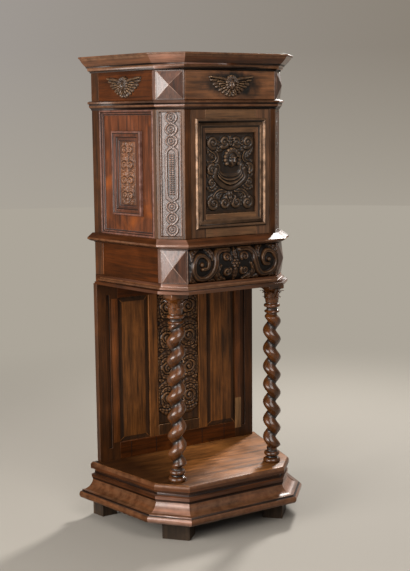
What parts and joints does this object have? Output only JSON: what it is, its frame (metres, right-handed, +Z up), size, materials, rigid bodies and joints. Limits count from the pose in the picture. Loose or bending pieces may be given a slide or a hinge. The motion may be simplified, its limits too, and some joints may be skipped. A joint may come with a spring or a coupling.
{
  "type": "dresser cabinet",
  "caption": "Tall canted cabinet on a moulded plinth: open stage with twisted columns, two drawers, a cupboard with one hinged door and a moulded cornice.",
  "frame": {"origin": "on the floor under the middle of the bounding box", "axes": "+Z up, the front faces -Y, +X to the right of someone facing the front"},
  "size_m": [0.8124, 0.473, 1.631],
  "materials": {
    "oak_case": "waxed semi-gloss",
    "oak_carved": "waxed, dark in the recesses",
    "oak_column": "polished",
    "oak_shelf": "worn and waxed",
    "oak_inside": "bare, dry",
    "iron": "dark, oiled"
  },
  "bodies": {
    "carcass": {"foot_front_left": "oak_case", "foot_front_right": "oak_case", "feet_back": "oak_case", "plinth_moulding": "oak_case", "lower_moulding": "oak_case", "lower_side_left": "oak_case", "lower_side_right": "oak_case", "lower_cant_left": "oak_case", "lower_cant_right": "oak_case", "waist_moulding": "oak_case", "back_post_left": "oak_case", "back_post_right": "oak_case", "corner_post_left": "oak_case", "corner_post_right": "oak_case", "side_panel_left": "oak_case", "side_panel_right": "oak_case", "side_moulding_left": "oak_case", "side_moulding_right": "oak_case", "string_course": "oak_case", "upper_side_left": "oak_case", "upper_side_right": "oak_case", "upper_cant_left": "oak_case", "upper_cant_right": "oak_case", "cornice_moulding": "oak_case", "top_board": "oak_case", "back_stile_left": "oak_case", "back_stile_right": "oak_case", "back_top_rail": "oak_case", "back_bottom_rail": "oak_case", "back_muntins": "oak_case", "back_panel_left": "oak_case", "back_panel_right": "oak_case", "back_panel_centre": "oak_carved", "side_ornaments": "oak_carved", "column_left": "oak_column", "column_right": "oak_column", "shelf_board": "oak_shelf", "plinth_back_rail": "oak_inside", "case_bottom": "oak_inside", "cupboard_floor": "oak_inside", "case_back": "oak_inside", "drawer_deck": "oak_inside"},
    "upper_drawer": {"upper_drawer_front": "oak_case", "upper_drawer_sides": "oak_inside", "upper_drawer_back": "oak_inside", "upper_drawer_bottom": "oak_inside", "upper_drawer_pull": "oak_carved"},
    "lower_drawer": {"lower_drawer_front": "oak_carved", "lower_drawer_sides": "oak_inside", "lower_drawer_back": "oak_inside", "lower_drawer_bottom": "oak_inside"},
    "door": {"door_stile_left": "oak_case", "door_stile_right": "oak_case", "door_top_rail": "oak_case", "door_bottom_rail": "oak_case", "door_panel": "oak_carved", "door_moulding": "oak_case", "door_pivots": "iron", "door_lock": "iron"},
    "bolt": {"lock_bolt": "iron"}
  },
  "joints": [
    {"name": "upper_drawer_slide", "type": "slide", "parent": "carcass", "child": "upper_drawer", "axis": [0, -1, 0], "range_m": [0, 0.25]},
    {"name": "lower_drawer_slide", "type": "slide", "parent": "carcass", "child": "lower_drawer", "axis": [0, -1, 0], "range_m": [0, 0.25]},
    {"name": "door_hinge", "type": "hinge", "parent": "carcass", "child": "door", "pos_m": [0.149, -0.1515, 1.24], "axis": [0, 0, 1], "range_deg": [0, 105]},
    {"name": "bolt_slide", "type": "slide", "parent": "door", "child": "bolt", "axis": [-1, 0, 0], "range_m": [0, 0.011]}
  ]
}
